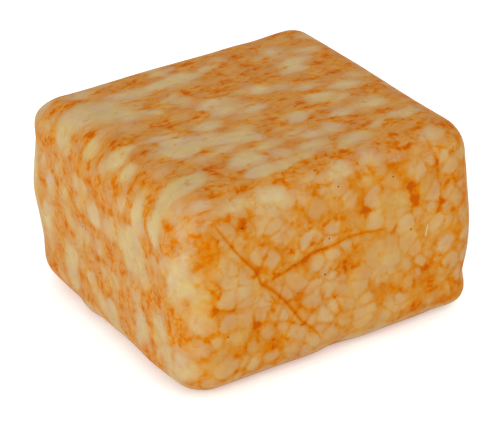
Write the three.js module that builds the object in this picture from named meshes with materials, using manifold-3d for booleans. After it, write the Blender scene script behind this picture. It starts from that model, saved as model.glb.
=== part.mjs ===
import * as THREE from 'three';
import { mergeVertices } from 'three/addons/utils/BufferGeometryUtils.js';
import Module from 'manifold-3d';

// A block of orange-marbled monterey jack, one solid piece of cheese.
// Millimetres, +Z up. The block rests on its flat underside, its cracked
// face looks along -Y, and its longest side runs along X.

const wasm = await Module();
wasm.setup();

// Size of the block before its faces bulge
const WIDTH = 82;
const DEPTH = 77.5;
const HEIGHT = 51;

// Roundness of each of the eight corners, [left, right], and the edges
// between two corners run from the one roundness to the other
const CORNERS = {
  frontBottom: [9.8, 9.0],
  backBottom: [8.4, 8.7],
  frontTop: [10.7, 9.9],
  backTop: [9.3, 7.6],
};

// The mesh is a net of this pitch laid over the block
const PITCH = 2.9;

// Soft swells (+) and dents (-) left by the press and by handling:
// where the middle is, how far it reaches each way, and its height
const LUMPS = [
  { name: 'right bulge', at: [41, -37, 24], reach: [8, 8, 7], height: 1.15 },
  { name: 'right dent', at: [41, -36, 10], reach: [8, 8, 2.8], height: -0.8 },
  { name: 'right shoulder dent', at: [41, -37, 41.5], reach: [7, 7, 2.6], height: -0.3 },
  { name: 'front right foot', at: [31, -37, 2], reach: [3, 6, 4], height: -0.35 },
  { name: 'front right toe', at: [37.5, -36, 4], reach: [3, 5, 2.5], height: 0.75 },
  { name: 'front foot notch', at: [1.5, -38, 1.5], reach: [3, 6, 4.5], height: -0.95 },
  { name: 'front left foot', at: [-33, -37, 2], reach: [5, 6, 4], height: -0.3 },
  { name: 'left foot swell', at: [-40, -19, 4], reach: [6, 5.5, 4], height: 0.6 },
  { name: 'left foot knob', at: [-40, 11, 3.5], reach: [6, 2.6, 3], height: 0.65 },
  { name: 'left back foot', at: [-40, 33, 4.5], reach: [6, 6, 3.2], height: -0.35 },
  { name: 'left nick', at: [-41, 34, 13], reach: [5, 6, 2.5], height: -0.25 },
  { name: 'left bulge', at: [-41, 34, 28], reach: [9, 10, 6], height: 1.5 },
  { name: 'left shoulder dent', at: [-41, 34, 42.3], reach: [6, 6, 2.6], height: -0.35 },
  { name: 'left shoulder knob', at: [-38.5, 35, 46.3], reach: [4, 4, 2.2], height: 0.8 },
  { name: 'back rim dip', at: [24, 36, 51], reach: [3.5, 5, 5], height: -0.3 },
];

// Slow waves over every face, where the curds settled unevenly
const WAVE_HEIGHT = 0.09;
const WAVES = [
  { along: 'x', length: 6.1, start: 1.0, across: 'y', crossLength: 7.3, crossStart: 0.4 },
  { along: 'y', length: 5.3, start: 2.0, across: 'z', crossLength: 5.9, crossStart: 0.9 },
  { along: 'z', length: 6.7, start: 0.3, across: 'x', crossLength: 5.7, crossStart: 2.2 },
];

// Hairline cracks in the front face: points [x, z] along each, the width
// at the surface and the depth in the middle of its run
const CRACKS = [
  {
    name: 'long crack',
    width: 0.45,
    depth: 0.35,
    path: [
      [-31.8, 46.3], [-29.4, 41.6], [-25.9, 36.3], [-22.1, 31.4], [-20.9, 27.8],
      [-19.0, 26.3], [-14.5, 21.0], [-10.7, 15.1], [-7.1, 11.0], [-5.3, 8.2],
    ],
  },
  {
    name: 'branch crack',
    width: 0.4,
    depth: 0.3,
    path: [[-17.9, 28.0], [-12.8, 29.4], [-7.0, 31.2], [-1.5, 31.6], [4.3, 32.4], [12.9, 31.3]],
  },
  {
    name: 'fine crack',
    width: 0.3,
    depth: 0.2,
    path: [[-20.3, 26.2], [-22.0, 23.5], [-25.2, 23.0], [-28.5, 23.8], [-32.5, 23.9]],
  },
];
const CRACK_STEP = 1.7;
const CRACK_WANDER = 0.12;
const CRACK_LIFT = 0.45;
const CRACK_END = 0.4;

// Below this tilt the skin belongs to the underside, which stays flat
const UNDERSIDE_TILT = 0.8;

const HALF = new THREE.Vector3(WIDTH / 2, DEPTH / 2, HEIGHT / 2);

function smooth(t) {
  const s = Math.min(Math.max(t, 0), 1);
  return s * s * (3 - 2 * s);
}

// Roundness at a point of the block, easing from corner to corner
function roundness(spot) {
  const right = smooth((spot.x / HALF.x + 1) / 2);
  const back = smooth((spot.y / HALF.y + 1) / 2);
  const top = smooth((spot.z / HALF.z + 1) / 2);
  const along = ([left, other]) => left + (other - left) * right;
  const bottomRadius = along(CORNERS.frontBottom) * (1 - back) + along(CORNERS.backBottom) * back;
  const topRadius = along(CORNERS.frontTop) * (1 - back) + along(CORNERS.backTop) * back;
  return bottomRadius + (topRadius - bottomRadius) * top;
}

// How far a lump lifts the skin at a point
function lumpLift(lump, point) {
  const away = ['x', 'y', 'z'].map((axis, i) => (point[axis] - lump.at[i]) / lump.reach[i]);
  return lump.height * Math.exp(-0.5 * away.reduce((sum, a) => sum + a * a, 0));
}

// How far a wave lifts the skin at a point
function waveLift(wave, point) {
  const ridge = Math.sin(point[wave.along] / wave.length + wave.start);
  return WAVE_HEIGHT * ridge * Math.sin(point[wave.across] / wave.crossLength + wave.crossStart);
}

// Takes a point of the plain box to the skin of the rounded, lumpy block.
// The box rests on z = 0 with its middle over the origin
function skin(x, y, z) {
  const spot = new THREE.Vector3(x, y, z - HALF.z);
  const radius = roundness(spot);
  const reach = HALF.clone().subScalar(radius);
  const inner = spot.clone().clamp(reach.clone().negate(), reach);
  const out = spot.clone().sub(inner).normalize();
  const point = inner.addScaledVector(out, radius);
  point.z += HALF.z;
  let lift = 0;
  for (const lump of LUMPS) lift += lumpLift(lump, point);
  for (const wave of WAVES) lift += waveLift(wave, point);
  lift *= 1 - smooth((-out.z - UNDERSIDE_TILT) / (1 - UNDERSIDE_TILT));
  point.addScaledVector(out, lift);
  point.z = Math.max(point.z, 0);
  return { point, out };
}

// The rounded block as a closed net of triangles
function blockNet() {
  const across = [WIDTH, DEPTH, HEIGHT].map((size) => Math.round(size / PITCH));
  const box = new THREE.BoxGeometry(WIDTH, DEPTH, HEIGHT, ...across);
  box.deleteAttribute('normal');
  box.deleteAttribute('uv');
  const net = mergeVertices(box, 1e-4);
  const places = net.attributes.position;
  for (let i = 0; i < places.count; i += 1) {
    const { point } = skin(places.getX(i), places.getY(i), places.getZ(i) + HALF.z);
    places.setXYZ(i, point.x, point.y, point.z);
  }
  return net;
}

function toSolid(geometry) {
  return new wasm.Manifold(new wasm.Mesh({
    numProp: 3,
    vertProperties: new Float32Array(geometry.attributes.position.array),
    triVerts: new Uint32Array(geometry.index.array),
  }));
}

// Repeatable random numbers from 0 to 1
function makeRandom(seed) {
  let turn = seed;
  return () => {
    turn += 1;
    const spread = Math.sin(turn * 12.9898) * 43758.5453;
    return spread - Math.floor(spread);
  };
}

// A thin wedge that follows the crack along the front skin: its sharp edge
// is inside the cheese, its flat back stands a little proud of the face
function crackWedge(crack, seed) {
  const random = makeRandom(seed);
  const course = new THREE.CatmullRomCurve3(crack.path.map(([x, z]) => new THREE.Vector3(x, 0, z)));
  const steps = Math.round(course.getLength() / CRACK_STEP);
  const stations = course.getSpacedPoints(steps).map((spot) => {
    const wander = (random() - 0.5) * 2 * CRACK_WANDER;
    return skin(spot.x, -HALF.y, spot.z + wander);
  });
  const corners = [];
  stations.forEach(({ point, out }, i) => {
    const before = stations[Math.max(i - 1, 0)].point;
    const after = stations[Math.min(i + 1, steps)].point;
    const run = after.clone().sub(before).normalize();
    const side = run.clone().cross(out).normalize();
    const strength = CRACK_END + (1 - CRACK_END) * Math.sqrt(Math.sin((Math.PI * i) / steps));
    const depth = crack.depth * strength;
    const halfBack = (crack.width / 2) * strength * ((depth + CRACK_LIFT) / depth);
    const back = point.clone().addScaledVector(out, CRACK_LIFT);
    corners.push(point.clone().addScaledVector(out, -depth));
    corners.push(back.clone().addScaledVector(side, -halfBack));
    corners.push(back.clone().addScaledVector(side, halfBack));
  });
  const faces = [0, 2, 1];
  for (let i = 0; i < steps; i += 1) {
    for (let k = 0; k < 3; k += 1) {
      const a = 3 * i + k;
      const b = 3 * i + ((k + 1) % 3);
      faces.push(a, b, a + 3, b, b + 3, a + 3);
    }
  }
  const end = 3 * steps;
  faces.push(end, end + 1, end + 2);
  const wedge = new THREE.BufferGeometry();
  wedge.setAttribute('position', new THREE.Float32BufferAttribute(corners.flatMap((c) => c.toArray()), 3));
  wedge.setIndex(faces);
  return toSolid(wedge);
}

// The block with its cracks cut in, moved so that it rests at the origin
function cheeseGeometry() {
  let solid = toSolid(blockNet());
  CRACKS.forEach((crack, i) => {
    solid = solid.subtract(crackWedge(crack, 100 * (i + 1)));
  });
  const mesh = solid.getMesh();
  const geometry = new THREE.BufferGeometry();
  geometry.setAttribute('position', new THREE.Float32BufferAttribute(mesh.vertProperties, mesh.numProp));
  geometry.setIndex(new THREE.Uint32BufferAttribute(mesh.triVerts, 1));
  geometry.computeBoundingBox();
  const { min, max } = geometry.boundingBox;
  geometry.translate(-(min.x + max.x) / 2, -(min.y + max.y) / 2, -min.z);
  geometry.computeVertexNormals();
  return geometry;
}

// Warm orange-tan cheese with a waxy, faintly moist skin
const cheese = new THREE.MeshStandardMaterial({
  name: 'marbled jack cheese',
  color: 0xcd9b5a,
  roughness: 0.42,
  metalness: 0,
});

const block = new THREE.Mesh(cheeseGeometry(), cheese);
block.name = 'cheese_block';

const part = new THREE.Group();
part.name = 'monterey_jack_block';
part.add(block);

export default part;
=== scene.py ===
import math
import bmesh
import bpy
import numpy as np
from mathutils import Matrix


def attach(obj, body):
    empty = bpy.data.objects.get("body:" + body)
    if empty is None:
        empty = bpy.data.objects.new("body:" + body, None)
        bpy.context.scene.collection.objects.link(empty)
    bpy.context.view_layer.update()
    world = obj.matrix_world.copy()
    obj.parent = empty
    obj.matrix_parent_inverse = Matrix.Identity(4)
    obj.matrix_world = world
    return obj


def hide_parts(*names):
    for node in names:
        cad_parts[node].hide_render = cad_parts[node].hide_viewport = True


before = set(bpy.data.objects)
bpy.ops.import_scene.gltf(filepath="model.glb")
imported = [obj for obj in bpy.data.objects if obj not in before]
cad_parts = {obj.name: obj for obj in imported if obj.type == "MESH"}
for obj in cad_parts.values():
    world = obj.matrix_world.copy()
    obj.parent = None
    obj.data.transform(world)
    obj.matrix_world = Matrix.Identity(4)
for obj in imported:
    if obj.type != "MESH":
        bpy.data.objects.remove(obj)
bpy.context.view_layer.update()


# The block of cheese.
# Monterey jack: orange-dyed and plain curds of a few millimetres, pressed into one body and cut
# to a block. It is soft and waxy, so every edge is rounded and the faces swell a little.

MM = 0.001

# Size of the block in mm before its faces bulge, and the pitch of its net
SIZE = np.array([82.0, 77.5, 51.0])
HALF = SIZE / 2
PITCH = 0.62

# Roundness in mm at the corners: left, right
FRONT_BOTTOM = (9.8, 9.0)
BACK_BOTTOM = (8.4, 8.7)
FRONT_TOP = (10.7, 9.9)
BACK_TOP = (9.3, 7.6)

# Soft swells (+) and dents (-) from the press and from handling: middle, reach, height, all in mm
SWELLS = [
    ("right bulge", (41, -37, 24), (8, 8, 7), 1.15),
    ("right dent", (41, -36, 10), (8, 8, 2.8), -0.8),
    ("right shoulder dent", (41, -37, 41.5), (7, 7, 2.6), -0.3),
    ("front right foot", (31, -37, 2), (3, 6, 4), -0.35),
    ("front right toe", (37.5, -36, 4), (3, 5, 2.5), 0.75),
    ("front foot notch", (1.5, -38, 1.5), (3, 6, 4.5), -0.95),
    ("front left foot", (-33, -37, 2), (5, 6, 4), -0.3),
    ("left foot swell", (-40, -19, 4), (6, 5.5, 4), 0.6),
    ("left foot knob", (-40, 11, 3.5), (6, 2.6, 3), 0.65),
    ("left back foot", (-40, 33, 4.5), (6, 6, 3.2), -0.35),
    ("left nick", (-41, 34, 13), (5, 6, 2.5), -0.25),
    ("left bulge", (-41, 34, 28), (9, 10, 6), 1.5),
    ("left shoulder dent", (-41, 34, 42.3), (6, 6, 2.6), -0.35),
    ("left shoulder knob", (-38.5, 35, 46.3), (4, 4, 2.2), 0.8),
    ("back rim dip", (24, 36, 51), (3.5, 5, 5), -0.3),
]

# Slow waves over every face: axis, length and start along, then across
WAVE_HEIGHT = 0.09
WAVES = [(0, 6.1, 1.0, 1, 7.3, 0.4), (1, 5.3, 2.0, 2, 5.9, 0.9), (2, 6.7, 0.3, 0, 5.7, 2.2)]
UNDERSIDE_TILT = 0.8


def smooth(t):
    """Eases from 0 to 1 while t runs from 0 to 1."""
    s = np.clip(t, 0, 1)
    return s * s * (3 - 2 * s)


def skin(box_points):
    """Takes points of the plain box to the skin of the rounded, lumpy block, and gives the way out."""
    spots = box_points - np.array([0, 0, HALF[2]])
    right, back, top = (smooth((spots[:, i] / HALF[i] + 1) / 2) for i in range(3))
    low = (FRONT_BOTTOM[0] + (FRONT_BOTTOM[1] - FRONT_BOTTOM[0]) * right) * (1 - back)
    low += (BACK_BOTTOM[0] + (BACK_BOTTOM[1] - BACK_BOTTOM[0]) * right) * back
    high = (FRONT_TOP[0] + (FRONT_TOP[1] - FRONT_TOP[0]) * right) * (1 - back)
    high += (BACK_TOP[0] + (BACK_TOP[1] - BACK_TOP[0]) * right) * back
    radius = (low + (high - low) * top)[:, None]
    inner = np.clip(spots, radius - HALF, HALF - radius)
    out = spots - inner
    out /= np.linalg.norm(out, axis=1)[:, None]
    points = inner + out * radius + np.array([0, 0, HALF[2]])
    lift = np.zeros(len(points))
    for _, middle, reach, height in SWELLS:
        away = (points - np.array(middle)) / np.array(reach)
        lift += height * np.exp(-0.5 * (away ** 2).sum(axis=1))
    for along, length, start, across, cross_length, cross_start in WAVES:
        ridge = np.sin(points[:, along] / length + start)
        lift += WAVE_HEIGHT * ridge * np.sin(points[:, across] / cross_length + cross_start)
    lift *= 1 - smooth((-out[:, 2] - UNDERSIDE_TILT) / (1 - UNDERSIDE_TILT))
    points = points + out * lift[:, None]
    points[:, 2] = np.maximum(points[:, 2], 0)
    return points, out


def plain_box():
    """The six sides of the plain box as one welded net of squares."""
    counts = np.round(SIZE / PITCH).astype(int)
    corners = []
    squares = []
    start = 0
    for normal, across, up in ((0, 1, 2), (1, 2, 0), (2, 0, 1)):
        for end in (-1, 1):
            steps = [np.linspace(-HALF[i], HALF[i], counts[i] + 1) for i in (across, up)]
            a, b = np.meshgrid(*steps, indexing="ij")
            side = np.zeros((a.size, 3))
            side[:, normal] = end * HALF[normal]
            side[:, across] = a.ravel()
            side[:, up] = b.ravel()
            corners.append(side)
            first = (np.arange(a.size).reshape(a.shape) + start)[:-1, :-1].ravel()
            row = counts[up] + 1
            ring = [first, first + row, first + row + 1, first + 1]
            squares.append(np.stack(ring if end > 0 else ring[::-1], axis=1))
            start += a.size
    corners = np.concatenate(corners) + np.array([0, 0, HALF[2]])
    _, keep, weld = np.unique(np.round(corners, 4), axis=0, return_index=True, return_inverse=True)
    return corners[keep], weld.ravel()[np.concatenate(squares)]


# The three sides that the picture shows: the way along, the way up and the middle of the base line.
# The other three are turned copies: the back of the front, the right of the left, the underside of the top.
FACES = {
    "front": (np.array([1, 0, 0]), np.array([0, 0, 1]), np.array([0, -HALF[1], 0])),
    "top": (np.array([1, 0, 0]), np.array([0, 1, 0]), np.array([0, 0, SIZE[2]])),
    "left": (np.array([0, 1, 0]), np.array([0, 0, 1]), np.array([-HALF[0], 0, 0])),
}
TURNS = {"front": np.array([-1, -1, 1]), "left": np.array([-1, -1, 1]), "top": np.array([-1, 1, -1])}
MIDDLE = np.array([0, 0, HALF[2]])


# Hairline cracks that opened along curd seams of the front face: points (x, z) along each,
# width at the skin and depth halfway, in mm, and how dark the dye is inside. The stain reaches
# CRACK_STAIN mm to each side at the ends and up to twice that halfway.
CRACKS = [
    ([(-31.8, 46.3), (-29.4, 41.6), (-25.9, 36.3), (-22.1, 31.4), (-20.9, 27.8),
      (-19.0, 26.3), (-14.5, 21.0), (-10.7, 15.1), (-7.1, 11.0), (-5.3, 8.2)], 0.45, 0.16, 1.0),
    ([(-17.9, 28.0), (-12.8, 29.4), (-7.0, 31.2), (-1.5, 31.6), (4.3, 32.4), (12.9, 31.3)], 0.4, 0.14, 0.9),
    ([(-20.3, 26.2), (-22.0, 23.5), (-25.2, 23.0), (-28.5, 23.8), (-32.5, 23.9)], 0.3, 0.08, 0.3),
]

# A crack has a point every CRACK_STEP mm, up to CRACK_WANDER mm off its course, and thins out to
# CRACK_END of its strength at the ends. Its curve is drawn with BEND_POINTS between two bends.
CRACK_STEP = 1.7
CRACK_WANDER = 0.12
CRACK_END = 0.4
BEND_POINTS = 40
CRACK_STAIN = 0.252

# More mm than anything on the block is away
FAR_AWAY = 1e3


def repeatable(seed, count):
    """Repeatable random numbers from 0 to 1."""
    spread = np.sin((seed + 1 + np.arange(count)) * 12.9898) * 43758.5453
    return spread - np.floor(spread)


def crack_course(path, seed):
    """Points (x, z) every couple of millimetres along a smooth crack, with a slight wander."""
    p = np.array([path[0], *path, path[-1]], float)
    t = np.linspace(0, 1, BEND_POINTS, endpoint=False)[:, None]
    bends = []
    for a, b, c, d in zip(p, p[1:], p[2:], p[3:]):
        bends.append(0.5 * (2 * b + (c - a) * t + (2 * a - 5 * b + 4 * c - d) * t ** 2
                            + (3 * b - a - 3 * c + d) * t ** 3))
    line = np.concatenate(bends + [p[-1:]])
    run = np.concatenate([[0], np.cumsum(np.linalg.norm(np.diff(line, axis=0), axis=1))])
    steps = int(round(run[-1] / CRACK_STEP))
    even = np.linspace(0, run[-1], steps + 1)
    course = np.stack([np.interp(even, run, line[:, i]) for i in range(2)], axis=1)
    course[:, 1] += (repeatable(seed, steps + 1) - 0.5) * 2 * CRACK_WANDER
    return course


def crack_distance(box_points, course):
    """For each point of the front face: how far the crack is, and how far along it, 0 to 1."""
    near = np.full(len(box_points), FAR_AWAY)
    along = np.zeros(len(box_points))
    flat = box_points[:, [0, 2]]
    for i, (a, b) in enumerate(zip(course, course[1:])):
        t = np.clip((flat - a) @ (b - a) / ((b - a) @ (b - a)), 0, 1)
        gap = np.linalg.norm(flat - a - t[:, None] * (b - a), axis=1)
        closer = gap < near
        near[closer] = gap[closer]
        along[closer] = (i + t[closer]) / (len(course) - 1)
    near[box_points[:, 1] > -HALF[1] + 1e-3] = FAR_AWAY
    return near, along


courses = [crack_course(path, 100 * (i + 1)) for i, (path, *_) in enumerate(CRACKS)]

# A crumb stuck upright to the front face, from (x, z) to (x, z)
CRUMB = np.array([(25.2, 28.3), (24.7, 25.7)])
CRUMB_RADIUS = 0.34
CRUMB_HEIGHT = 0.2

# Pinholes where whey drained out, painted dark brown inside as painted shade for the hollow
PINHOLES = {
    "front": [(-25.1, 43.5), (-2.5, 33.7), (20.5, 28.7), (-30.1, 17.2), (0.8, 46.1), (15.6, 44.0),
              (-3.7, 24.6)],
    "top": [(34.0, 3.8), (-3.2, -35.2)],
    "left": [(2.0, 18.1), (9.1, 27.6)],
}
PINHOLE_RADIUS = 0.24
PINHOLE_DEPTH = 0.2


def pinhole_distance(box_points):
    """How far each point of the box is from the nearest pinhole."""
    near = np.full(len(box_points), FAR_AWAY)
    for face, spots in PINHOLES.items():
        run, rise, base = FACES[face]
        for u, v in spots:
            spot = base + u * run + v * rise
            for one in (spot, (spot - MIDDLE) * TURNS[face] + MIDDLE):
                near = np.minimum(near, np.linalg.norm(box_points - one, axis=1))
    return near


def detail_distance(box_points):
    """How far each point of the box is from the nearest crack, crumb or pinhole."""
    gaps = [crack_distance(box_points, course)[0] for course in [*courses, CRUMB]]
    return np.min([*gaps, pinhole_distance(box_points)], axis=0)


# The net is made finer and finer where a small detail is this near, in mm
FINER_WITHIN = (1.3, 0.8, 0.45)

net = bmesh.new()
box_points, squares = plain_box()
knots = [net.verts.new(p) for p in box_points]
for square in squares:
    net.faces.new([knots[i] for i in square])
for reach in FINER_WITHIN:
    spots = np.array([v.co for v in net.verts])
    close = detail_distance(spots) < reach
    net.verts.index_update()
    cut = [e for e in net.edges if close[e.verts[0].index] and close[e.verts[1].index]]
    bmesh.ops.subdivide_edges(net, edges=cut, cuts=1, use_grid_fill=True)
bmesh.ops.triangulate(net, faces=[f for f in net.faces if len(f.verts) > 4])

box_points = np.array([v.co for v in net.verts], dtype=float)
points, out = skin(box_points)

# The same shift as the solid: its box stands over the origin
shift = np.array([*-(points.min(axis=0) + points.max(axis=0))[:2] / 2, 0])

crack_stain = np.zeros(len(points))
for course, (_, width, depth, dye) in zip(courses, CRACKS):
    near, along = crack_distance(box_points, course)
    strength = CRACK_END + (1 - CRACK_END) * np.sqrt(np.sin(np.pi * along).clip(0))
    notch = np.clip(1 - near / (width / 2 * strength), 0, 1)
    points -= out * (notch * depth * strength)[:, None]
    stain = dye * strength * np.exp(-(near / (CRACK_STAIN * (1 + strength))) ** 2)
    crack_stain = np.maximum(crack_stain, stain)

crumb_gap, _ = crack_distance(box_points, CRUMB)
crumb = np.clip(1 - (crumb_gap / CRUMB_RADIUS) ** 2, 0, 1)
points += out * (crumb * CRUMB_HEIGHT)[:, None]
pinhole = np.clip(1 - (pinhole_distance(box_points) / PINHOLE_RADIUS) ** 2, 0, 1)
points -= out * (pinhole * PINHOLE_DEPTH)[:, None]

for vert, point in zip(net.verts, (points + shift) * MM):
    vert.co = point
cheese_mesh = bpy.data.meshes.new("cheese")
net.to_mesh(cheese_mesh)
net.free()
for face in cheese_mesh.polygons:
    face.use_smooth = True


# Where whole groups of curds took no dye, and where the dye gathered between them. Two of the pale marks, on
# the front-top rim, are also painted highlight.
# Each mark: middle on its face in mm, half its length and height, its tilt in degrees, and how
# strong it is. Front marks are (x, z), top marks (x, y), left marks (y, z).
# A mark reaches MARK_DEPTH mm under the skin, and so round an edge. It fades outwards from its
# middle by MARK_FADE, with a crisper outline the greater MARK_EDGE is.
MARK_DEPTH = 6.0
MARK_FADE = 0.7
MARK_EDGE = 3.0

PALE_AND_HIGHLIGHT = {
    "front": [
        (15, 37, 4.4, 3.4, 0, 0.9), (4, 17, 3.2, 6, 0, 0.5), (13, 25.5, 7, 6.5, -35, 0.75),
        (-27, 17.5, 3.3, 3.0, 0, 0.8), (6, 35, 3.6, 2.4, 0, 0.6), (-37.5, 30, 2, 6, 0, 0.8),
        (-36.5, 21, 1.8, 3, 0, 0.7), (-33, 12, 4, 4.5, 0, 0.55), (-2, 43.5, 4, 3, 0, 0.55),
        (11.5, 44.5, 3.4, 1.4, 0, 0.6), (25, 38, 2.4, 2.8, 20, 0.6), (8, 6, 9, 4, 0, 0.55),
        (-19, 47, 6, 3.6, 0, 0.5), (-23, 27, 2.6, 3.2, -30, 0.5), (17.5, 27, 1.8, 3, 0, 0.6),
        (-12, 26.5, 3, 2.2, 0, 0.55), (-12.5, 31.2, 4, 1.2, 10, 0.6), (34, 44, 3.5, 2.5, 0, 0.5),
        # The marks at (1.8, 50.8) and (-19, 50.4) on the front-top rim are partly pale curds, partly painted
        # highlight where light catches the rounded edge.
        (28, 28, 5, 3, 0, 0.35), (-30, 35, 4, 3, 0, 0.4), (1.8, 50.8, 2.4, 1.6, 0, 0.85),
        (-19, 50.4, 6, 2, 0, 0.75), (-7.6, 50.4, 4, 1.6, 0, 0.3),
    ],
    "top": [
        (-30, 16, 10, 4.5, 0, 0.9), (-17, 23, 4.6, 2, 0, 0.8), (-24, -9, 8, 3.6, 0, 0.8),
        (-33.5, -25, 7, 3.2, 0, 0.95), (-6, 22, 6, 3.2, 10, 0.7), (18.5, -6.5, 5.6, 3, 0, 0.8),
        (-12, -13.5, 9, 3, 0, 0.5), (-4.5, -19.5, 4.6, 1.6, 10, 0.6), (6, -9.5, 4, 2.2, 0, 0.55),
        (-37, 20, 4, 4.2, 0, 0.9), (-39, -2, 3, 3.2, 0, 0.9), (-15.5, -23, 3.2, 1.8, 0, 0.75),
        (-11, -30, 7, 1.8, 0, 0.7), (13, -28, 5, 2.4, 0, 0.6), (-13, 13, 5, 2.6, 0, 0.6),
        (3.5, 8, 5, 2, 0, 0.45), (25, 14, 4, 3, 20, 0.3), (21, 21.5, 6, 2.2, 0, 0.2),
        (25, -14, 3.6, 3, 0, 0.45), (34, -21, 4, 3, 0, 0.4), (-12, -3, 4, 2.6, 0, 0.4),
        (-5, 3, 4, 4, 0, 0.4), (2, -27, 4, 2, 0, 0.45), (24, -3, 3, 2, 0, 0.4),
    ],
    "left": [
        (-13, 33, 6.5, 5.5, 0, 0.95), (-18.2, 43.4, 2.4, 5.5, 0, 0.95), (-26.4, 43.5, 2.6, 4.6, 0, 0.95),
        (9.4, 24.5, 2.8, 3.6, 0, 0.8), (17, 16, 3.2, 5.5, 0, 0.85), (18, 46, 3, 4.5, 0, 0.65),
        (-27, 16, 3.6, 4, 0, 0.7), (-34, 31, 2.2, 7, 12, 0.85), (25, 20, 5, 5, 30, 0.4),
        (-3, 20, 3, 3, 0, 0.5), (-19, 14.5, 3, 3.4, 0, 0.5), (3, 34, 4, 3, -20, 0.4),
        (17, 32, 3.6, 2.4, 0, 0.5), (32, 30, 2.6, 12, 0, 0.7), (-3, 9, 3, 4, 0, 0.5),
        (26, 48, 2.4, 3, 0, 0.4), (7.1, 50, 2, 2.5, 0, 0.8), (-9.5, 50, 2, 2.5, 0, 0.8),
        (-32, 8, 4, 4, 0, 0.3),
    ],
}
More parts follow.
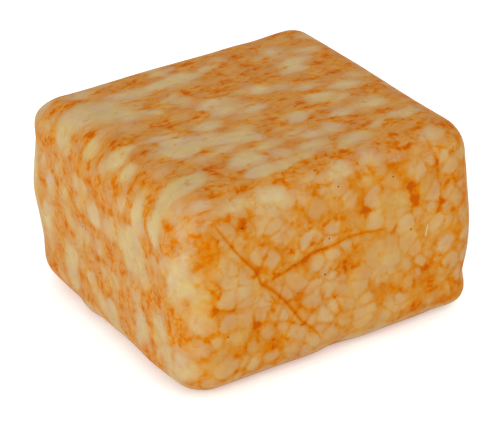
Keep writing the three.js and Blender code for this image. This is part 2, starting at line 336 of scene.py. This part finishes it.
DYED = {
    "front": [
        (-25.3, 44.8, 1.4, 1.4, 20, 1.35), (-22.5, 17.8, 1.7, 1.7, 0, 1.0), (-25, 13.5, 0.7, 3.4, -30, 0.8),
        (-18.5, 19.5, 2.0, 1.0, -30, 0.8), (21, 38, 1.2, 3.2, 15, 1.45), (8.5, 37.5, 2.2, 1.6, -20, 0.9),
        (10.8, 47.3, 1.3, 1.8, 30, 0.9), (-6.7, 34.5, 1.4, 1.2, 0, 0.8), (-38.5, 41, 2.6, 3.0, 0, 0.35),
        (-36.2, 16.5, 1.0, 3.0, 10, 0.7), (29.5, 33.7, 1.4, 1.1, 0, 0.8), (30, 17, 1.8, 2.0, 0, 0.7),
        (-5.5, 47, 3.0, 1.4, 0, 0.7), (-16, 45, 2.4, 0.8, 35, 0.8), (27.7, 46, 0.6, 4.5, 5, 0.9),
        (-33.8, 29.8, 1.8, 1.2, 0, 0.9), (-33.5, 24.5, 1.0, 1.8, -20, 0.8), (-12.5, 33.5, 1.2, 0.8, 0, 0.7),
        (-37.3, 7.5, 0.8, 2.4, -10, 0.6), (21.5, 6.5, 1.2, 1.8, 20, 0.7), (4.5, 24.5, 1.5, 0.7, 30, 0.7),
        (0, 24, 0.9, 1.4, 0, 0.7), (-17.3, 28, 1.1, 0.6, 20, 0.8), (-28.3, 6, 0.7, 3.2, 5, 0.6),
        (15.5, 30.6, 2.6, 1.0, -10, 0.6), (26, 12, 0.7, 1.8, 20, 0.6), (36, 46.5, 4, 1.0, 15, 0.7),
        (29, 31.5, 6, 0.9, -12, 0.6), (11.8, 16.6, 1.2, 0.6, 20, 0.9), (-34, 40, 0.7, 3, 0, 0.5),
        (34, 39, 3, 0.9, -35, 0.6), (10, 20, 5, 0.7, -20, 0.5), (-1, 17, 0.7, 4, 5, 0.5),
    ],
    "top": [
        (-33, 28, 3, 4, -40, 0.7), (-23, 24.5, 2, 1.0, 40, 0.8), (-13, 26.5, 0.9, 2.8, 15, 0.8),
        (-16.8, 27, 0.9, 0.9, 0, 0.6), (-5, 28.5, 2.8, 0.9, -50, 0.7), (7.5, 23, 1.2, 2.6, -30, 0.8),
        (12.5, 22, 0.9, 3, 10, 0.7), (2, 12, 2.8, 1.0, 0, 0.8), (-7, 15, 1.0, 1.8, 0, 0.6),
        (30, 13.5, 4, 1.0, 25, 0.7), (-2.5, 8, 0.8, 3.2, -25, 0.7), (-19, 13, 2.4, 0.9, -40, 0.5),
        (22.5, 4.5, 2.2, 0.7, 15, 0.6), (8, 5.3, 1.4, 0.7, 20, 0.6), (28, 4.5, 0.7, 1.3, 0, 0.6),
        (18.5, -2, 1.6, 1.4, 0, 0.5), (12, -5.8, 1.1, 0.8, 0, 0.8), (1.5, -15.8, 1.2, 0.9, 0, 0.8),
        (-20.3, 0, 0.9, 2.0, 0, 0.7), (-28, 1.5, 2.4, 0.6, 0, 0.6), (-35, -8, 1.8, 1.2, -30, 0.5),
        (-22.5, -4, 0.9, 1.6, 0, 0.6), (-27, -17, 1.0, 2.4, 20, 0.6), (-17.8, -18.6, 0.8, 1.6, 0, 0.8),
        (-24, -24, 0.9, 3.6, 15, 0.8), (-9.8, -23, 0.9, 3, 0, 0.8), (7.8, -18.5, 1.2, 1.8, -30, 0.7),
        (18, -23.6, 3.0, 1.2, 15, 0.9), (26, -28.5, 2.2, 1.6, -20, 0.6), (2, -33.5, 8, 2.6, -5, 0.8),
        (-15, -34, 6, 1.6, 0, 0.5), (16, -34, 5, 2.0, 0, 0.6), (31.5, -15, 1.2, 2.6, 0, 0.7),
        (-39, -13, 2.4, 1.0, 0, 0.7), (-30, -31, 5, 1.4, 0, 0.6), (33, 5, 1.4, 1.0, 0, 0.7),
        (18, 28, 4, 3, 0, 0.25), (-37, 10, 3.4, 0.9, -60, 0.5), (-34, 0.5, 3, 0.7, -45, 0.5),
    ],
    "left": [
        (25, 46, 1.8, 5.5, -50, 0.6), (14.5, 44, 1.6, 1.8, 0, 0.3), (9.5, 47, 1.0, 3.0, -20, 0.8),
        (5, 41.6, 2.6, 0.8, -15, 0.8), (16, 40, 1.0, 3.0, 30, 0.6), (-2, 38.5, 2.6, 1.4, 0, 0.9),
        (-5, 37.5, 2.4, 1.2, -30, 0.9), (12.5, 34.8, 2.0, 0.8, -25, 0.8), (29, 36.5, 1.6, 1.4, 0, 0.8),
        (26.5, 32, 2.2, 1.0, 0, 0.5), (-13.5, 39.5, 2.8, 1.2, 0, 0.7), (-9.5, 46.5, 0.9, 4.2, 20, 0.6),
        (-22, 46.5, 0.8, 3.0, 25, 0.6), (-30, 46.2, 2.8, 0.7, 15, 0.8), (-37, 44, 2.2, 4.0, 0, 0.5),
        (23, 28, 3.4, 0.8, -20, 0.5), (-19.3, 28, 1.2, 0.7, 0, 0.7), (-22, 34.5, 0.9, 1.2, 0, 0.6),
        (-26.5, 23.6, 1.6, 0.7, -10, 0.6), (-16, 21.5, 1.2, 1.4, 0, 1.0), (2, 22, 1.8, 0.9, -30, 0.9),
        (-1, 22, 1.2, 0.7, -20, 0.7), (-10.5, 24, 1.6, 0.6, -20, 0.6), (-12.5, 15, 3.2, 1.0, -25, 0.6),
        (-1, 12.5, 0.7, 3.0, -25, 0.7), (-13, 8, 1.3, 1.6, 0, 0.9), (6.5, 8, 1.4, 1.0, 0, 0.7),
        (11.5, 8.5, 1.2, 1.2, 0, 0.6), (25, 9.5, 2.4, 3.2, 0, 0.7), (22.5, 13.5, 1.2, 1.0, -40, 0.5),
        (-35.5, 18.5, 0.8, 3.0, 12, 1.0), (-31.8, 11.5, 0.8, 3.4, 8, 1.0), (-24, 10, 0.8, 3.6, -15, 0.5),
        (-22.8, 16, 0.9, 1.8, -20, 0.5), (5, 28, 4, 2, -30, 0.3), (18.5, 24, 3.0, 1.2, -40, 0.4),
        (8, 15, 3.5, 3.5, 0, 0.4), (-25, 26, 3.0, 4, 20, 0.35), (-31, 21, 2.0, 4, 10, 0.4),
        (-20, 6, 4, 3, 0, 0.35),
    ],
}


def marks_mask(marks, points):
    """How far each point lies inside any of the marks or their turned copies, 0 to 1."""
    mask = np.zeros(len(points))
    for face, entries in marks.items():
        run, rise, base = FACES[face]
        for u, v, half_long, half_high, tilt, strength in entries:
            spot = skin((base + u * run + v * rise)[None].astype(float))[0][0]
            across = np.cross(run, rise)
            turn = math.radians(tilt)
            long_way = math.cos(turn) * run + math.sin(turn) * rise
            high_way = math.cos(turn) * rise - math.sin(turn) * run
            for turned in (points, (points - MIDDLE) * TURNS[face] + MIDDLE):
                away = turned - spot
                reach = (away @ long_way / half_long) ** 2 + (away @ high_way / half_high) ** 2
                reach += (away @ across / MARK_DEPTH) ** 2
                mask = np.maximum(mask, strength * np.exp(-MARK_FADE * reach ** (MARK_EDGE / 2)))
    return mask


def store(mesh, name, values):
    """Keeps a value for each point of the mesh under a name that a material can read."""
    attribute = mesh.attributes.new(name, "FLOAT", "POINT")
    attribute.data.foreach_set("value", values.astype(np.float32))


# The front and back show the curds as they were pressed. On the top and underside the cutting wire
# smeared them, and on the two ends it smeared them a little less. The smear sets in on the
# rounded edges, from this tilt of the skin and over this much more of it.
END_SMEAR = 0.85
SMEAR_FROM = 0.35
SMEAR_OVER = 0.45
on_top, on_end = (smooth((np.abs(out[:, i]) - SMEAR_FROM) / SMEAR_OVER) for i in (2, 0))
smeared = np.maximum(on_top, END_SMEAR * on_end)

# Round the pressed faces, where the smear has set in to RIM_SMEAR, the dye spread into a golden
# rim. It is faint in the lowest RIM_FOOT mm.
RIM_DYE = 0.5
RIM_SMEAR = 0.4
RIM_FOOT = 14.0
rim = RIM_DYE * smooth(smeared / RIM_SMEAR) * (1 - smooth(smeared / RIM_SMEAR - 1))
rim *= smooth(points[:, 2] / RIM_FOOT)

# This pale mask also carries the painted highlight on the front-top rim.
store(cheese_mesh, "pale_and_highlight", marks_mask(PALE_AND_HIGHLIGHT, points))
store(cheese_mesh, "dyed", np.maximum(marks_mask(DYED, points), rim))
store(cheese_mesh, "crack", crack_stain)
store(cheese_mesh, "crumb", np.sqrt(crumb))
store(cheese_mesh, "pinhole", np.sqrt(pinhole))
store(cheese_mesh, "smeared", smeared)


def add(tree, kind, settings=None, links=None):
    """Adds a node with its settings, and sets or links its sockets."""
    node = tree.nodes.new(kind)
    for name, value in (settings or {}).items():
        setattr(node, name, value)
    for socket, source in (links or {}).items():
        if isinstance(source, bpy.types.NodeSocket):
            tree.links.new(source, node.inputs[socket])
        else:
            node.inputs[socket].default_value = source
    return node


def linear(hex_colour):
    """An sRGB hex colour as linear red, green, blue and full alpha."""
    parts = [int(hex_colour[i:i + 2], 16) / 255 for i in (0, 2, 4)]
    return [c / 12.92 if c <= 0.04045 else ((c + 0.055) / 1.055) ** 2.4 for c in parts] + [1.0]


def total(tree, start, *terms):
    """A starting value plus each field times its weight."""
    for field, weight in terms:
        start = add(tree, "ShaderNodeMath", {"operation": "MULTIPLY_ADD"},
                    {0: field, 1: weight, 2: start}).outputs[0]
    return start


# The curds: about 4 mm across where they are cut, pushed out of shape by the press in slow and
# quick sways of so many mm, by so many mm
CURD = 4.5
SLOW_SWAY = 9.0
SLOW_SWAY_BY = 3.0
QUICK_SWAY = 2.4
QUICK_SWAY_BY = 1.3


def packed(tree, place):
    """A place in mm as counted in curds, pushed about by its neighbours."""
    for sway, sway_by, detail in ((SLOW_SWAY, SLOW_SWAY_BY, 0.0), (QUICK_SWAY, QUICK_SWAY_BY, 1.0)):
        push = add(tree, "ShaderNodeTexNoise", None, {"Vector": place, "Scale": 1 / sway, "Detail": detail})
        place = add(tree, "ShaderNodeVectorMath", {"operation": "MULTIPLY_ADD"},
                    {0: push.outputs["Color"], 1: (sway_by,) * 3, 2: place}).outputs[0]
    return add(tree, "ShaderNodeVectorMath", {"operation": "SCALE"},
               {0: place, "Scale": 1 / CURD}).outputs[0]


def curd_fabric(tree, place):
    """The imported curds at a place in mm: the distance to the seam in mm, the distance to the
    curd's middle in curd sizes, and a random red, green and blue of each curd's own."""
    spot = packed(tree, place)
    seam = add(tree, "ShaderNodeTexVoronoi", {"feature": "DISTANCE_TO_EDGE"}, {"Vector": spot, "Scale": 1.0})
    curd = add(tree, "ShaderNodeTexVoronoi", {"feature": "F1"}, {"Vector": spot, "Scale": 1.0})
    seam_mm = total(tree, 0.0, (seam.outputs["Distance"], CURD))
    return seam_mm, curd.outputs["Distance"], curd.outputs["Color"]


# Each curd stands a hair proud of its seams, less so where it was smeared, and not on the flat
# underside. Heights and widths in mm, and the tilt of the skin where the underside begins and ends.
RELIEF = 0.07
DOME_EDGE = 1.1
WORN_OFF = 0.7
UNDERSIDE_FROM = -0.9
UNDERSIDE_FULL = -0.98
relief = bpy.data.node_groups.new("curd_relief", "GeometryNodeTree")
relief.interface.new_socket("Geometry", in_out="INPUT", socket_type="NodeSocketGeometry")
relief.interface.new_socket("Geometry", in_out="OUTPUT", socket_type="NodeSocketGeometry")
body_in = add(relief, "NodeGroupInput")
where = add(relief, "GeometryNodeInputPosition")
where_mm = add(relief, "ShaderNodeVectorMath", {"operation": "SCALE"},
               {0: where.outputs[0], "Scale": 1 / MM})
seam_mm, _, _ = curd_fabric(relief, where_mm.outputs[0])
dome = add(relief, "ShaderNodeMapRange", {"interpolation_type": "SMOOTHSTEP"},
           {"Value": seam_mm, "From Min": 0.0, "From Max": DOME_EDGE,
            "To Min": -RELIEF * MM, "To Max": 0.0})
facing = add(relief, "GeometryNodeInputNormal")
flat = add(relief, "ShaderNodeSeparateXYZ", None, {0: facing.outputs[0]})
above = add(relief, "ShaderNodeMapRange", None,
            {"Value": flat.outputs[2], "From Min": UNDERSIDE_FULL, "From Max": UNDERSIDE_FROM,
             "To Min": 0.0, "To Max": 1.0})
smear = add(relief, "GeometryNodeInputNamedAttribute", {"data_type": "FLOAT"}, {"Name": "smeared"})
kept = total(relief, 1.0, (smear.outputs[0], -WORN_OFF))
height = add(relief, "ShaderNodeMath", {"operation": "MULTIPLY"}, {0: dome.outputs[0], 1: above.outputs[0]})
height = add(relief, "ShaderNodeMath", {"operation": "MULTIPLY"}, {0: height.outputs[0], 1: kept})
lift = add(relief, "ShaderNodeVectorMath", {"operation": "SCALE"},
           {0: facing.outputs[0], "Scale": height.outputs[0]})
raised = add(relief, "GeometryNodeSetPosition", None,
             {"Geometry": body_in.outputs[0], "Offset": lift.outputs[0]})
add(relief, "NodeGroupOutput", None, {0: raised.outputs[0]})

rough_block = bpy.data.objects.new("rough_block", cheese_mesh)
bpy.context.scene.collection.objects.link(rough_block)
rough_block.modifiers.new("curds", "NODES").node_group = relief
bpy.context.view_layer.update()
finished = rough_block.evaluated_get(bpy.context.evaluated_depsgraph_get())
block_mesh = bpy.data.meshes.new_from_object(finished, preserve_all_data_layers=True,
                                             depsgraph=bpy.context.evaluated_depsgraph_get())
bpy.data.objects.remove(rough_block)
block = bpy.data.objects.new("cheese_block_skin", block_mesh)
bpy.context.scene.collection.objects.link(block)


# Marbled jack cheese, cut and pressed: plain curds of a warm cream tan, annatto dye drawn
# out along the seams and pooled where three curds meet, under a thin waxy film
cheese = bpy.data.materials.new("marbled_jack_cheese")
cheese.use_nodes = True
tree = cheese.node_tree
tree.nodes.clear()
coordinate = add(tree, "ShaderNodeTexCoord")
place = add(tree, "ShaderNodeVectorMath", {"operation": "SCALE"},
            {0: coordinate.outputs["Object"], "Scale": 1 / MM}).outputs[0]
pale_and_highlight, dyed, crack, crumb, pinhole, smear = (
    add(tree, "ShaderNodeAttribute", {"attribute_name": name}).outputs["Fac"]
    for name in ("pale_and_highlight", "dyed", "crack", "crumb", "pinhole", "smeared"))


def unevenness(place, grain, detail, roughness):
    """A cloud around zero over grains of this many mm, and a random push: it sets how the dye comes and
    goes, and also the painted light and the film's waves.
    """
    cloud = add(tree, "ShaderNodeTexNoise", None,
                {"Vector": place, "Scale": 1 / grain, "Detail": detail, "Roughness": roughness})
    return total(tree, -0.5, (cloud.outputs["Fac"], 1.0)), cloud.outputs["Color"]


# As pressed: curds are rounded islands of their own size in a golden ground. Grains in mm.
BROAD_GRAIN = 8.0
LOCAL_GRAIN = 3.2
MOTTLE_GRAIN = 1.3

seam_mm, middle, own = curd_fabric(tree, place)
own = add(tree, "ShaderNodeSeparateColor", None, {0: own})
broad, _ = unevenness(place, BROAD_GRAIN, 1.0, 0.5)
local, _ = unevenness(place, LOCAL_GRAIN, 1.0, 0.5)
mottle, _ = unevenness(place, MOTTLE_GRAIN, 3.0, 0.6)
beyond = total(tree, -0.36, (own.outputs[0], -0.34), (middle, 1.0), (mottle, 0.25))
rounded = add(tree, "ShaderNodeMapRange", {"interpolation_type": "SMOOTHSTEP"},
              {"Value": beyond, "From Min": -0.16, "From Max": 0.16,
               "To Min": 1.0, "To Max": 0.0}).outputs[0]
apart = add(tree, "ShaderNodeMapRange", {"interpolation_type": "SMOOTHSTEP"},
            {"Value": total(tree, seam_mm, (mottle, 0.8)), "From Min": -0.2, "From Max": 0.8,
             "To Min": 0.5, "To Max": 1.0}).outputs[0]
island = add(tree, "ShaderNodeMath", {"operation": "MULTIPLY"}, {0: rounded, 1: apart}).outputs[0]

# Dye ran along the seams in some places and not in others, with ragged edges and a soft halo
near = add(tree, "ShaderNodeMapRange", {"interpolation_type": "SMOOTHSTEP"},
           {"Value": seam_mm, "From Min": 0.0, "From Max": 1.5, "To Min": 1.0, "To Max": 0.0}).outputs[0]
supply = total(tree, 0.0, (near, 0.6), (mottle, 1.8), (local, 2.1), (broad, 0.5), (dyed, 0.92),
               (pale_and_highlight, -0.75), (rounded, -0.4))
vein, halo = (add(tree, "ShaderNodeMapRange", {"interpolation_type": "SMOOTHSTEP"},
                  {"Value": supply, "From Min": low, "From Max": high}).outputs[0]
              for low, high in ((0.42, 1.5), (-0.35, 0.7)))
clear = total(tree, -0.15, (own.outputs[1], -0.13))
blank = total(tree, 1.0, (pale_and_highlight, -0.9))
clear = add(tree, "ShaderNodeMath", {"operation": "MULTIPLY"}, {0: clear, 1: blank}).outputs[0]
pressed_dye = total(tree, 0.46, (broad, 0.5), (pale_and_highlight, -0.16), (island, clear), (halo, 0.18), (vein, 0.76),
                    (mottle, 0.1), (smear, -0.16))

# Smeared by the wire: the same curds, drawn out along X and run together, some of them cream and
# some faint, with the dye between them drawn into wisps and threads. Grains and swirl in mm.
DRAWN_OUT = (0.62, 1.0, 0.85)
SWATH_GRAIN = 2.6
STREAK_GRAIN = 1.1
THREAD_GRAIN = 2.4
THREAD_WIDTH = 0.08
SWIRL = 1.5

drawn = add(tree, "ShaderNodeVectorMath", {"operation": "MULTIPLY"}, {0: place, 1: DRAWN_OUT}).outputs[0]
soft_curd = add(tree, "ShaderNodeTexVoronoi", {"feature": "SMOOTH_F1"},
                {"Vector": packed(tree, drawn), "Scale": 1.0, "Smoothness": 0.7})
tone = add(tree, "ShaderNodeSeparateColor", None, {0: soft_curd.outputs["Color"]}).outputs[1]
swath, push = unevenness(drawn, SWATH_GRAIN, 1.0, 0.5)
swirled = add(tree, "ShaderNodeVectorMath", {"operation": "MULTIPLY_ADD"},
              {0: push, 1: (SWIRL,) * 3, 2: drawn}).outputs[0]
streak, _ = unevenness(swirled, STREAK_GRAIN, 1.0, 0.5)
winding, _ = unevenness(swirled, THREAD_GRAIN, 1.0, 0.5)
off_thread = add(tree, "ShaderNodeMath", {"operation": "ABSOLUTE"}, {0: winding}).outputs[0]
thread = add(tree, "ShaderNodeMapRange", {"interpolation_type": "SMOOTHSTEP"},
             {"Value": off_thread, "From Min": 0.0, "From Max": THREAD_WIDTH,
              "To Min": 1.0, "To Max": 0.0}).outputs[0]
cream = add(tree, "ShaderNodeMapRange", {"interpolation_type": "SMOOTHSTEP"},
            {"Value": total(tree, -0.22, (tone, 1.05), (soft_curd.outputs["Distance"], -0.7), (streak, 0.3),
                            (swath, 0.45), (pale_and_highlight, 0.95), (dyed, -0.3)),
             "From Min": -0.25, "From Max": 0.65}).outputs[0]
drift = total(tree, 0.1, (streak, 1.9), (swath, 2.5), (dyed, 0.42), (thread, 0.5), (cream, -0.8))
wisp, haze = (add(tree, "ShaderNodeMapRange", {"interpolation_type": "SMOOTHSTEP"},
                  {"Value": drift, "From Min": low, "From Max": high}).outputs[0]
              for low, high in ((0.35, 1.2), (-0.3, 0.8)))
smeared_dye = total(tree, 0.14, (smear, 0.3), (cream, -0.39), (haze, 0.26), (wisp, 0.54),
                    (streak, 0.12))

# Concentration of the dye, and the colour of the cheese from none of it to a full pool
DYE_COLOURS = [(0.0, "AC9570"), (0.08, "AB8C60"), (0.2, "AB8351"), (0.32, "AB7A40"), (0.44, "AC712C"),
               (0.56, "AD6915"), (0.68, "AE6103"), (0.8, "AD5A02"), (1.0, "A24902")]

dye = add(tree, "ShaderNodeMix", {"data_type": "FLOAT"}, {0: smear, 2: pressed_dye, 3: smeared_dye})
dye = total(tree, dye.outputs[0], (crack, 0.6), (crumb, -0.6))
ramp = add(tree, "ShaderNodeValToRGB", None, {0: total(tree, 0.0, (dye, 0.8))})
while len(ramp.color_ramp.elements) < len(DYE_COLOURS):
    ramp.color_ramp.elements.new(0.5)
for stop, (at, hex_colour) in zip(ramp.color_ramp.elements, DYE_COLOURS):
    stop.position = at
    stop.color = linear(hex_colour)

# The ground between pressed curds is a shade yellower than they are. Over it goes painted light and shade:
# here and there the colour is made a little brighter and darker, standing in for light let through the
# cheese and shading from its bumps. Inside a pinhole the colour is painted dark brown, as painted shade for
# the hollow.
PAINTED_LIGHT_GRAIN = 5.0
PINHOLE_SHADE_BROWN = "5A2C10"

ground = total(tree, 0.6, (island, -0.6), (pale_and_highlight, 0.6), (smear, -0.45))
# Painted light and shade: patches a few mm across where the colour is made a little brighter and darker.
painted_light, _ = unevenness(place, PAINTED_LIGHT_GRAIN, 3.0, 0.65)
tint_and_painted_light = add(tree, "ShaderNodeCombineXYZ", None, {
    0: total(tree, 1.0, (painted_light, 0.3)), 1: total(tree, 1.0, (painted_light, 0.55), (ground, 0.04)),
    2: total(tree, 1.0, (ground, -0.2))})
marbled = add(tree, "ShaderNodeVectorMath", {"operation": "MULTIPLY"},
              {0: ramp.outputs[0], 1: tint_and_painted_light.outputs[0]})
# Painted shade: inside each pinhole the colour is mixed towards dark brown.
pitted = add(tree, "ShaderNodeMix", {"data_type": "RGBA"},
             {0: pinhole, 6: marbled.outputs[0], 7: linear(PINHOLE_SHADE_BROWN)})

# The waxy film over it is very slightly uneven, and light goes a little way into the cheese
FILM_GRAIN = 0.5
FILM_HEIGHT = 0.08
LIGHT_DEPTH = 0.4

film_waves, _ = unevenness(place, FILM_GRAIN, 2.0, 0.5)
film = add(tree, "ShaderNodeBump", None,
           {"Height": film_waves, "Strength": 0.2, "Distance": FILM_HEIGHT * MM})
wax = add(tree, "ShaderNodeBsdfPrincipled", None, {
    "Base Color": pitted.outputs[2], "Roughness": total(tree, 0.42, (local, 0.25)), "IOR": 1.45,
    "Specular IOR Level": 0.015, "Subsurface Weight": 0.12, "Subsurface Radius": (1.0, 0.6, 0.3),
    "Subsurface Scale": LIGHT_DEPTH * MM, "Normal": film.outputs[0]})
add(tree, "ShaderNodeOutputMaterial", None, {"Surface": wax.outputs[0]})
block_mesh.materials.clear()
block_mesh.materials.append(cheese)

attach(block, "root")
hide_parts("cheese_block")


# The table under it.
# A plain white sheet of matte opal plastic, cast flat and softly lit from below, much wider than
# the picture.
TABLE_HALF = 4.0

floor_mesh = bpy.data.meshes.new("table")
table_corners = [(x * TABLE_HALF, y * TABLE_HALF, 0) for x, y in ((-1, -1), (1, -1), (1, 1), (-1, 1))]
floor_mesh.from_pydata(table_corners, [], [(0, 1, 2, 3)])
table = bpy.data.objects.new("table", floor_mesh)
bpy.context.scene.collection.objects.link(table)
sheet = bpy.data.materials.new("white_opal_sheet")
sheet.use_nodes = True
opal = sheet.node_tree.nodes["Principled BSDF"]
opal.inputs["Base Color"].default_value = linear("F4F4F3")
opal.inputs["Roughness"].default_value = 0.9
opal.inputs["Specular IOR Level"].default_value = 0.1
opal.inputs["Emission Color"].default_value = linear("FFFFFF")
opal.inputs["Emission Strength"].default_value = 0.25
floor_mesh.materials.append(sheet)


# The light.
# A white tent all round, with a soft panel low on the left and one in front and above. Places,
# aims and widths in metres, power in watts.
PANEL_WIDTH = 0.6
BLOCK_MIDDLE = (0, 0, 0.03)

world = bpy.data.worlds.new("white_tent")
world.use_nodes = True
world.node_tree.nodes["Background"].inputs["Color"].default_value = linear("FFFFFF")
world.node_tree.nodes["Background"].inputs["Strength"].default_value = 0.98
bpy.context.scene.world = world


def soft_panel(name, place, power):
    """A square white panel that faces the middle of the block."""
    light = bpy.data.lights.new(name, "AREA")
    light.shape = "SQUARE"
    light.size = PANEL_WIDTH
    light.energy = power
    lamp = bpy.data.objects.new(name, light)
    away = np.array(place, float) - np.array(BLOCK_MIDDLE, float)
    back = away / np.linalg.norm(away)
    side = np.cross([0, 0, 1], back)
    side /= np.linalg.norm(side)
    turn = np.eye(4)
    turn[:3, 0], turn[:3, 1], turn[:3, 2], turn[:3, 3] = side, np.cross(back, side), back, place
    lamp.matrix_world = Matrix(turn.tolist())
    bpy.context.scene.collection.objects.link(lamp)


soft_panel("left_panel", (-0.9, -0.35, 0.30), 4.2)
soft_panel("front_panel", (-0.1, -0.75, 0.75), 3.3)


# The camera.
# A long lens, a little above the block and half a metre away, looking at its front left corner.
AZIMUTH, ELEVATION, ROLL = (math.radians(a) for a in (-31.1, 28.35, -2.03))
DISTANCE_MM = 502.0
ASIDE_MM = -0.63
RISE_MM = 20.05
FOCAL_PIXELS = 2008.0
PICTURE_WIDTH = 500
SENSOR_MM = 36.0

back = np.array([math.sin(AZIMUTH) * math.cos(ELEVATION),
                 -math.cos(AZIMUTH) * math.cos(ELEVATION), math.sin(ELEVATION)])
level = np.cross([0, 0, 1], back)
level /= np.linalg.norm(level)
upright = np.cross(back, level)
right = math.cos(ROLL) * level + math.sin(ROLL) * upright
up = math.cos(ROLL) * upright - math.sin(ROLL) * level
eye = (back * DISTANCE_MM + right * ASIDE_MM + up * RISE_MM + shift) * MM
pose = np.eye(4)
pose[:3, 0], pose[:3, 1], pose[:3, 2], pose[:3, 3] = right, up, back, eye
lens = bpy.data.cameras.new("camera")
lens.sensor_fit = "HORIZONTAL"
lens.sensor_width = SENSOR_MM
lens.lens = FOCAL_PIXELS * SENSOR_MM / PICTURE_WIDTH
lens.clip_start = 10 * MM
camera = bpy.data.objects.new("camera", lens)
camera.matrix_world = Matrix(pose.tolist())
bpy.context.scene.collection.objects.link(camera)
bpy.context.scene.camera = camera
bpy.context.scene.view_settings.view_transform = "Standard"
